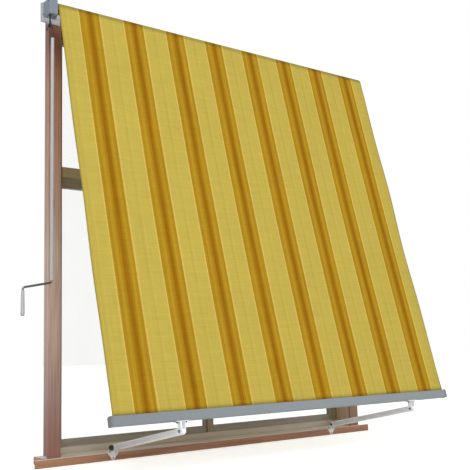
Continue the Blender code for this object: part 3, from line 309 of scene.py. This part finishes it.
def glass():
    made, tree, shader, place = finish_of(
        "window glass", IOR=1.45, Transmission_Weight=1.0, Roughness=0.0
    )
    dust = put(tree, "ShaderNodeTexNoise", {"Vector": place["Object"], "Scale": 6.0, "Detail": 6.0})
    tone = stops(
        put(tree, "ShaderNodeValToRGB", {"Fac": dust.outputs["Fac"]}),
        (0.3, srgb(255, 255, 255)),
        (0.8, srgb(250, 251, 251)),
    )
    tree.links.new(tone, shader.inputs["Base Color"])
    return made


def cloth():
    """Woven awning cloth on the piece's own flat map, in metres: stripes across, ribs along."""
    made, tree, shader, place = finish_of(
        "striped awning cloth", Specular_IOR_Level=0.06
    )
    flat = put(tree, "ShaderNodeSeparateXYZ", {"Vector": place["UV"]})
    shifted = calc(tree, "ADD", flat.outputs["X"], 5 * STRIPE_REPEAT)
    share = calc(tree, "FRACT", calc(tree, "DIVIDE", shifted, STRIPE_REPEAT))
    ground, shade = srgb(190, 170, 77), srgb(186, 166, 74)
    pale, line = srgb(193, 173, 82), srgb(210, 181, 88)
    gold, mustard = srgb(167, 130, 27), srgb(178, 139, 34)
    amber, brown = srgb(162, 119, 20), srgb(148, 102, 9)
    entries = [
        (millimetres / 1000 / STRIPE_REPEAT, tone)
        for millimetres, tone in (
            (0, ground), (38.5, ground), (40.5, line), (44.5, line), (48, gold), (61, gold),
            (65, mustard), (75, mustard), (81, gold), (87, amber), (91, amber), (94, brown),
            (110, brown), (113, amber), (117, amber), (121, gold), (126, mustard), (135, mustard),
            (139, gold), (149, gold), (153.5, line), (158, line), (161.5, ground), (203, ground),
            (206, shade), (212, shade), (222, ground), (224, pale), (229, pale), (231, ground),
        )
    ]
    stripes = put(tree, "ShaderNodeValToRGB", {"Fac": share})
    colour = stops(stripes, *entries)

    def threads(across, along, detail=2.0):
        spread = put(tree, "ShaderNodeMapping", {"Vector": place["UV"], "Scale": (across, along, 1.0)})
        values = {"Vector": spread.outputs["Vector"], "Scale": 1.0, "Detail": detail}
        return put(tree, "ShaderNodeTexNoise", values).outputs["Fac"]

    ribs = threads(9.0, 230.0)
    warp = threads(420.0, 3.0)
    ripples = threads(4.0, 55.0)
    clouds = threads(3.0, 3.0, 4.0)
    value = calc(tree, "MULTIPLY_ADD", ribs, 0.26, 0.85)
    value = calc(tree, "MULTIPLY", value, calc(tree, "MULTIPLY_ADD", warp, 0.24, 0.88))
    value = calc(tree, "MULTIPLY", value, calc(tree, "MULTIPLY_ADD", clouds, 0.10, 0.95))
    # Painted shade: the cloth turns darker towards the roll and on the wound turns, down to 0.55 of its
    # tone.
    values = {"Value": flat.outputs["Y"], "From Min": -0.02, "From Max": 0.01, "To Min": 0.55}
    wound = put(tree, "ShaderNodeMapRange", values)
    value = calc(tree, "MULTIPLY", value, wound.outputs["Result"])
    value = calc(tree, "MULTIPLY", value, calc(tree, "MULTIPLY_ADD", ripples, 0.12, 0.94))
    green = put(tree, "ShaderNodeSeparateColor", {"Color": colour}).outputs["Green"]
    browns = put(tree, "ShaderNodeMapRange", {"Value": green, "From Min": 0.38, "From Max": 0.14})
    uneven = calc(tree, "SUBTRACT", threads(260.0, 2.0), 0.5)
    streaks = calc(tree, "MULTIPLY", uneven, browns.outputs["Result"])
    value = calc(tree, "MULTIPLY", value, calc(tree, "MULTIPLY_ADD", streaks, 0.9, 1.0))
    from_left = calc(tree, "SUBTRACT", flat.outputs["X"], CLOTH_LOW.x)
    from_right = calc(tree, "SUBTRACT", CLOTH_HIGH.x, flat.outputs["X"])
    inset = calc(tree, "MINIMUM", from_left, from_right)
    selvedge = put(tree, "ShaderNodeMapRange", {"Value": inset, "From Max": 0.010, "To Min": 0.72})
    value = calc(tree, "MULTIPLY", value, selvedge.outputs["Result"])
    tinted = put(tree, "ShaderNodeHueSaturation", {"Color": colour, "Value": value})
    tree.links.new(tinted.outputs["Color"], shader.inputs["Base Color"])

    def weave(scale, direction):
        values = {"Vector": place["UV"], "Scale": scale, "Distortion": 0.4}
        return put(tree, "ShaderNodeTexWave", values, bands_direction=direction).outputs["Fac"]

    height = calc(tree, "MULTIPLY", weave(160.0, "X"), weave(110.0, "Y"))
    bump(tree, shader, height, 0.0002, 0.4)
    rough = calc(tree, "MULTIPLY_ADD", ribs, 0.15, 0.76)
    tree.links.new(rough, shader.inputs["Roughness"])
    return made


def plastic(name, tone, polish, relief=0.0001, depth=0.15):
    return metal(name, tone, polish, patch=80.0, depth=depth, shine=0.0, relief=relief)


# Painted shade: the jamb's tones by height, darker towards the foot and darkest at the head under the
# roll, where shade falls on it; paler in between.
JAMB_SHADE_BY_HEIGHT = CAD_HIGH[2], [
    (0.0, srgb(140, 94, 78)),
    (0.06, srgb(150, 108, 96)),
    (0.14, srgb(172, 143, 136)),
    (0.28, srgb(206, 180, 168)),
    (0.44, srgb(210, 184, 172)),
    (0.53, srgb(198, 166, 152)),
    (0.71, srgb(196, 152, 132)),
    (0.82, srgb(190, 140, 116)),
    (0.91, srgb(150, 96, 76)),
    (1.0, srgb(120, 72, 56)),
]
# Painted light: above 35 mm the sill board turns near-white, so its top face carries the light falling on
# it; the front below stays brown.
SILL_LIGHT_BY_HEIGHT = 0.040, [
    (0.0, srgb(170, 122, 90)),
    (0.84, srgb(176, 128, 98)),
    (0.88, srgb(244, 238, 230)),
]
FINISHES = {
    "jamb": wood(
        "stained upright, painted shade at foot and head", True, None, srgb(110, 70, 58), 0.35, JAMB_SHADE_BY_HEIGHT, inner=srgb(214, 190, 164)
    ),
    "board": wood("stained board", False, srgb(140, 104, 88), srgb(84, 56, 46), 0.55),
    "sill": wood("sill board, painted light on top", False, None, srgb(92, 60, 44), 0.5, SILL_LIGHT_BY_HEIGHT),
    "sash_upright": wood("weathered sash upright", True, srgb(150, 140, 118), srgb(112, 102, 84), 0.4),
    "sash_level": wood("weathered sash rail", False, srgb(150, 144, 132), srgb(108, 102, 94), 0.45),
    # Painted light: the bottom rail uses a copy of the sash rail's tone about 1.3 times brighter.
    "sash_rail_painted_light": wood("sash rail, painted light", False, srgb(196, 188, 174), srgb(160, 150, 134), 0.4),
    "transom_pale": wood("pale transom board", False, srgb(186, 178, 150), srgb(150, 134, 112), 0.4),
    "glass": glass(),
    "cloth": cloth(),
    "zinc": zinc(),
    "steel": metal("bright steel", srgb(120, 122, 126), 0.34, depth=0.2),
    "dark_steel": metal("dark oiled steel", srgb(48, 48, 52), 0.42, depth=0.3, shine=0.6),
    "housing": metal(
        "grey gearbox paint", srgb(120, 129, 142), 0.46, patch=160.0, depth=0.55, shine=0.2, relief=0.0003
    ),
    "bar": metal("satin grey bar", srgb(122, 130, 135), 0.42, depth=0.10, shine=0.15),
    "white": metal("white enamel", srgb(240, 240, 238), 0.30, depth=0.08, shine=0.0, Coat_Weight=0.3),
    "aluminium": metal("satin aluminium", srgb(236, 238, 241), 0.36, depth=0.10, shine=0.2),
    "black": plastic("black moulding", srgb(34, 34, 36), 0.48, 0.0003),
    "cap": plastic("grained grey cap", srgb(118, 122, 124), 0.60, 0.0006, 0.5),
    "grey_plastic": plastic("light grey coating", srgb(188, 190, 194), 0.40),
}
BY_SLOT = {
    "glass": "glass",
    "cloth": "cloth",
    "zinc": "zinc",
    "steel": "steel",
    "grey_paint": "housing",
    "white_paint": "white",
    "aluminium": "aluminium",
    "black": "black",
    "bolt": "black",
    "grey_plastic": "grey_plastic",
}
BY_NODE = {
    "left_jamb": "jamb",
    "right_jamb": "jamb",
    "head_rail": "board",
    "sill_board": "sill",
    "bottom_rail": "sash_rail_painted_light",
    "left_transom_upper_rail": "transom_pale",
    "right_transom_upper_rail": "transom_pale",
    "left_stile": "sash_upright",
    "right_stile": "sash_upright",
    "mullion": "sash_upright",
    "mullion_bead": "sash_upright",
    "front_bar": "bar",
    "left_bar_cap": "cap",
    "right_bar_cap": "cap",
    "worm_shaft": "dark_steel",
    "crank_hook": "dark_steel",
}
SLOTS = {part["node"]: part["material_slot"] for part in frame["record"]["subparts"]}


def dress_nodes():
    for name, node in frame["nodes"].items():
        finish = BY_NODE.get(name) or BY_SLOT.get(SLOTS[name], "sash_level")
        node.data.materials.clear()
        node.data.materials.append(FINISHES[finish])


# pieces

def piece(name, bm, finish, body, smooth=True):
    mesh = bpy.data.meshes.new(name)
    bm.to_mesh(mesh)
    bm.free()
    made = bpy.data.objects.new(name, mesh)
    bpy.context.collection.objects.link(made)
    mesh.materials.append(FINISHES[finish])
    if smooth:
        mesh.shade_smooth()
    if body:
        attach(made, body)
    return made


def flat_map(bm, length_at):
    """Lay the cloth's flat map on a mesh: across in metres, and the length that length_at gives."""
    layer = bm.loops.layers.uv.new("flat")
    for face in bm.faces:
        for loop in face.loops:
            loop[layer].uv = (loop.vert.co.x, length_at(loop.vert))


ROLLER_AXIS = Vector(JOINTS["roller_spin"]["pos_m"])
WOUND_RADIUS = CLOTH_HIGH.z - ROLLER_AXIS.z
BEAD = Vector((0, CLOTH_LOW.y + BEAD_RADIUS, CLOTH_LOW.z + BEAD_RADIUS))


def leaving_point():
    """Where the free cloth leaves the roll: the touch point of the line from the bead in the bar."""
    away = BEAD - Vector((0, ROLLER_AXIS.y, ROLLER_AXIS.z))
    angle = math.atan2(away.z, away.y) - math.acos(WOUND_RADIUS / math.hypot(away.y, away.z))
    out = Vector((0, math.cos(angle), math.sin(angle))) * WOUND_RADIUS
    return Vector((0, ROLLER_AXIS.y, ROLLER_AXIS.z)) + out, angle


LEAVE, LEAVE_ANGLE = leaving_point()
MOUTH = BEAD + (LEAVE - BEAD).normalized() * BEAD_DEEP
FREE = MOUTH - LEAVE
FACING = Vector((0, FREE.z, -FREE.y)).normalized()


def thicken(made):
    wall = made.modifiers.new("cloth thickness", "SOLIDIFY")
    wall.thickness = CLOTH_THICK
    wall.offset = 0.0
    return made


def free_cloth():
    """The let-out panel: a taut sheet with a slight belly, soft ripples and gently curled sides."""
    width = CLOTH_HIGH.x - CLOTH_LOW.x
    bm = bmesh.new()
    bmesh.ops.create_grid(bm, x_segments=COLUMNS, y_segments=ROWS, size=0.5)
    for vert in bm.verts:
        across, down = vert.co.x + 0.5, 0.5 - vert.co.y
        belly = math.sin(math.pi * down)
        ripple = 0.0012 * math.sin(2 * math.pi * (3.2 * across + 0.4 * down))
        ripple += 0.0008 * math.sin(2 * math.pi * (7.3 * across - 0.9 * down) + 1.3)
        side = math.exp(-across * width / 0.03) + math.exp(-(1 - across) * width / 0.03)
        curl = SIDE_CURL * side * math.sin(2 * math.pi * (2.5 * down + 0.3 * across))
        lift = belly * (-SAG + ripple) + curl * belly
        vert.co = LEAVE + FREE * down + FACING * lift
        vert.co.x = CLOTH_LOW.x + width * across
    flat_map(bm, lambda vert: (vert.co - LEAVE).dot(FREE.normalized()))
    made = piece("cloth_panel", bm, "cloth", "window")
    return thicken(made)


def wound_cloth():
    """The turns on the tube: one spiral strip whose outer end lies at the leaving line."""
    bm = bmesh.new()
    steps = 40
    last = None
    count = steps * WOUND_TURNS
    for i in range(count + 1):
        angle = LEAVE_ANGLE - 2 * math.pi * i / steps
        radius = WOUND_RADIUS - CLOTH_THICK / 2 - WOUND_STEP * i / steps
        place = (
            CLOTH_LOW.x,
            ROLLER_AXIS.y + radius * math.cos(angle),
            ROLLER_AXIS.z + radius * math.sin(angle),
        )
        vert = bm.verts.new(place)
        if last:
            bm.edges.new((last, vert))
        last = vert
    edges = list(bm.edges)
    grown = bmesh.ops.extrude_edge_only(bm, edges=edges)
    moved = [v for v in grown["geom"] if isinstance(v, bmesh.types.BMVert)]
    bmesh.ops.translate(bm, verts=moved, vec=(CLOTH_HIGH.x - CLOTH_LOW.x, 0, 0))
    bmesh.ops.recalc_face_normals(bm, faces=bm.faces)

    def back_along(vert):
        out = math.hypot(vert.co.y - ROLLER_AXIS.y, vert.co.z - ROLLER_AXIS.z)
        return -(WOUND_RADIUS - CLOTH_THICK / 2 - out) / WOUND_STEP * 2 * math.pi * out

    flat_map(bm, back_along)
    made = piece("cloth_wound", bm, "cloth", "roller")
    return thicken(made)


def bead():
    """The hem that is held in the bar's channel."""
    bm = bmesh.new()
    centre = Vector((CLOTH_LOW.x, BEAD.y, BEAD.z))
    bmesh.ops.create_circle(bm, cap_ends=True, segments=14, radius=BEAD_RADIUS)
    bmesh.ops.rotate(bm, verts=bm.verts, matrix=Matrix.Rotation(math.pi / 2, 3, "Y"))
    bmesh.ops.translate(bm, verts=bm.verts, vec=centre)
    grown = bmesh.ops.extrude_face_region(bm, geom=list(bm.faces))
    moved = [v for v in grown["geom"] if isinstance(v, bmesh.types.BMVert)]
    bmesh.ops.translate(bm, verts=moved, vec=(CLOTH_HIGH.x - CLOTH_LOW.x, 0, 0))
    bmesh.ops.recalc_face_normals(bm, faces=bm.faces)
    flat_map(bm, lambda vert: FREE.length + 0.01)
    return piece("cloth_bead", bm, "cloth", "front_bar")


def screw(name, place, facing, body, finish="steel", head=SCREW_HEAD, turn=0.4):
    """A round-headed screw whose underside lies on a face: domed head with a slot."""
    bm = bmesh.new()
    bmesh.ops.create_cone(
        bm, cap_ends=True, segments=20, radius1=head, radius2=head * 0.62, depth=SCREW_CROWN
    )
    bmesh.ops.translate(bm, verts=bm.verts, vec=(0, 0, SCREW_CROWN / 2))
    top = [e for e in bm.edges if all(v.co.z > SCREW_CROWN * 0.9 for v in e.verts)]
    bmesh.ops.bevel(bm, geom=top, offset=0.0006, segments=3, affect="EDGES", profile=0.5, material=-1)
    for side in (-1, 1):
        bmesh.ops.bisect_plane(
            bm, geom=bm.verts[:] + bm.edges[:] + bm.faces[:],
            plane_co=(side * SCREW_SLOT / 2, 0, 0), plane_no=(1, 0, 0),
        )
    slot_faces = [
        f
        for f in bm.faces
        if f.normal.z > 0.5 and f.calc_center_median().z > SCREW_CROWN * 0.7
        and abs(f.calc_center_median().x) < SCREW_SLOT / 2
    ]
    if slot_faces:
        grown = bmesh.ops.extrude_face_region(bm, geom=slot_faces)
        moved = [v for v in grown["geom"] if isinstance(v, bmesh.types.BMVert)]
        bmesh.ops.translate(bm, verts=moved, vec=(0, 0, -SCREW_CROWN * 0.4))
        bmesh.ops.delete(bm, geom=[f for f in slot_faces if f.is_valid], context="FACES_ONLY")
    bmesh.ops.recalc_face_normals(bm, faces=bm.faces)
    bmesh.ops.rotate(bm, verts=bm.verts, matrix=Matrix.Rotation(turn, 3, "Z"))
    aim = Vector((0, 0, 1)).rotation_difference(Vector(facing)).to_matrix()
    bmesh.ops.rotate(bm, verts=bm.verts, matrix=aim)
    bmesh.ops.translate(bm, verts=bm.verts, vec=place)
    return piece(name, bm, finish, body)


def fasteners():
    jamb_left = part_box("left_jamb")[0][0]
    plate_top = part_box("winch_bracket")[1][2]
    for k, share in enumerate((0.3, 0.75)):
        place = (jamb_left + WINCH_SCREW_IN, FIXING_FACE, plate_top - WINCH_PLATE_TALL * (1 - share))
        screw(f"winch_bracket_screw_{k}", place, (0, -1, 0), "window", turn=0.3 + k)
    idler_low, idler_high = (Vector(c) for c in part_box("idler_bracket"))
    for k, share in enumerate((0.25, 0.75)):
        height = idler_low.z + (idler_high.z - idler_low.z) * share
        place = (idler_low.x + IDLER_SCREW_IN, FIXING_FACE, height)
        screw(f"idler_bracket_screw_{k}", place, (0, -1, 0), "window", turn=0.9 + k)
    for side in ("left", "right"):
        low, high = (Vector(c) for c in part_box(f"{side}_sill_bracket"))
        middle = (low.x + high.x) / 2
        for k, (off, height) in enumerate(((-0.0205, 0.041), (0.0205, 0.041), (0.0, 0.012))):
            place = (middle + off, high.y - 0.004, height)
            screw(f"{side}_sill_screw_{k}", place, (0, -1, 0), "window", head=0.0038, turn=0.5 * k)
    box_low, box_high = (Vector(c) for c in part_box("gearbox_housing"))
    inset = 0.010
    corners = ((box_low.y + inset, box_high.z - inset), (box_high.y - inset, box_low.z + inset))
    for k, (y, z) in enumerate(corners):
        place = (box_low.x, y, z)
        screw(f"gearbox_screw_{k}", place, (-1, 0, 0), "window", "dark_steel", head=0.0042, turn=k)


def build_cloth():
    panel = free_cloth()
    wound = wound_cloth()
    hem = bead()
    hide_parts("awning_cloth")
    swing = JOINTS["left_arm_swing"]
    pivot = Vector(swing["pos_m"])
    upper = Vector(JOINTS["bar_tilt"]["pos_m"])
    arm = Vector((0, upper.y - pivot.y, upper.z - pivot.z))
    turned = arm.copy()
    turned.rotate(Matrix.Rotation(-math.radians(swing["range_deg"][1]), 3, "X"))
    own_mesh(panel)


# stage

def look_along(turn, rise, lean):
    """The camera's axes from its turn to the right, its rise and its lean, in degrees."""
    turn, rise, lean = (math.radians(angle) for angle in (turn, rise, lean))
    ahead = Vector((math.sin(turn) * math.cos(rise), math.cos(turn) * math.cos(rise), math.sin(rise)))
    right = Vector((math.cos(turn), -math.sin(turn), 0))
    down = ahead.cross(right)
    across = right * math.cos(lean) + down * math.sin(lean)
    below = down * math.cos(lean) - right * math.sin(lean)
    return Matrix((across, -below, -ahead)).transposed()


def add_camera():
    data = bpy.data.cameras.new("camera")
    data.lens = LENS
    data.sensor_width = 36.0
    data.sensor_fit = "HORIZONTAL"
    data.clip_end = 100.0
    made = bpy.data.objects.new("camera", data)
    bpy.context.collection.objects.link(made)
    made.matrix_world = Matrix.Translation(EYE) @ look_along(TURN, RISE, LEAN).to_4x4()
    bpy.context.scene.camera = made


def seen_plain(tree):
    """1 on rays that show the background: seen, mirrored or passed through glass."""
    rays = put(tree, "ShaderNodeLightPath")
    seen = calc(tree, "MAXIMUM", rays.outputs["Is Camera Ray"], rays.outputs["Is Glossy Ray"])
    return calc(tree, "MAXIMUM", seen, rays.outputs["Is Transmission Ray"])


def add_stage():
    bm = bmesh.new()
    bmesh.ops.create_grid(bm, x_segments=1, y_segments=1, size=30.0)
    mesh = bpy.data.meshes.new("floor")
    bm.to_mesh(mesh)
    bm.free()
    floor = bpy.data.objects.new("floor", mesh)
    bpy.context.collection.objects.link(floor)
    made, tree, shader, _ = finish_of("pale floor", Base_Color=srgb(240, 240, 238), Roughness=0.9)
    strength = calc(tree, "MULTIPLY", seen_plain(tree), FLOOR_GLOW)
    glow = put(tree, "ShaderNodeEmission", {"Color": (1, 1, 1, 1), "Strength": strength})
    both = put(tree, "ShaderNodeAddShader", {0: shader.outputs[0], 1: glow.outputs[0]})
    tree.links.new(both.outputs[0], tree.nodes["Material Output"].inputs["Surface"])
    mesh.materials.append(made)

    world = bpy.data.worlds.new("studio")
    bpy.context.scene.world = world
    world.use_nodes = True
    tree = world.node_tree
    back = tree.nodes["Background"]
    back.inputs["Color"].default_value = (1, 1, 1, 1)
    shown = seen_plain(tree)
    strength = calc(tree, "MULTIPLY_ADD", shown, 1 - WORLD_LIGHT, WORLD_LIGHT)
    tree.links.new(strength, back.inputs["Strength"])

    for name, place, size, power in (
        ("key", (-3.4, -5.0, 5.2), 3.0, 150.0),
        ("low", (-1.2, -5.0, 0.7), 2.0, 42.0),
        ("fill", (4.0, -4.5, 3.0), 3.5, 60.0),
    ):
        data = bpy.data.lights.new(name, "AREA")
        data.size = size
        data.energy = power
        lamp = bpy.data.objects.new(name, data)
        bpy.context.collection.objects.link(lamp)
        lamp.location = place
        lamp.rotation_euler = (Vector((0, -0.3, 1.0)) - Vector(place)).to_track_quat("-Z", "Y").to_euler()


dress_nodes()
build_cloth()
fasteners()
add_camera()
add_stage()
bpy.context.scene.view_settings.view_transform = "Standard"
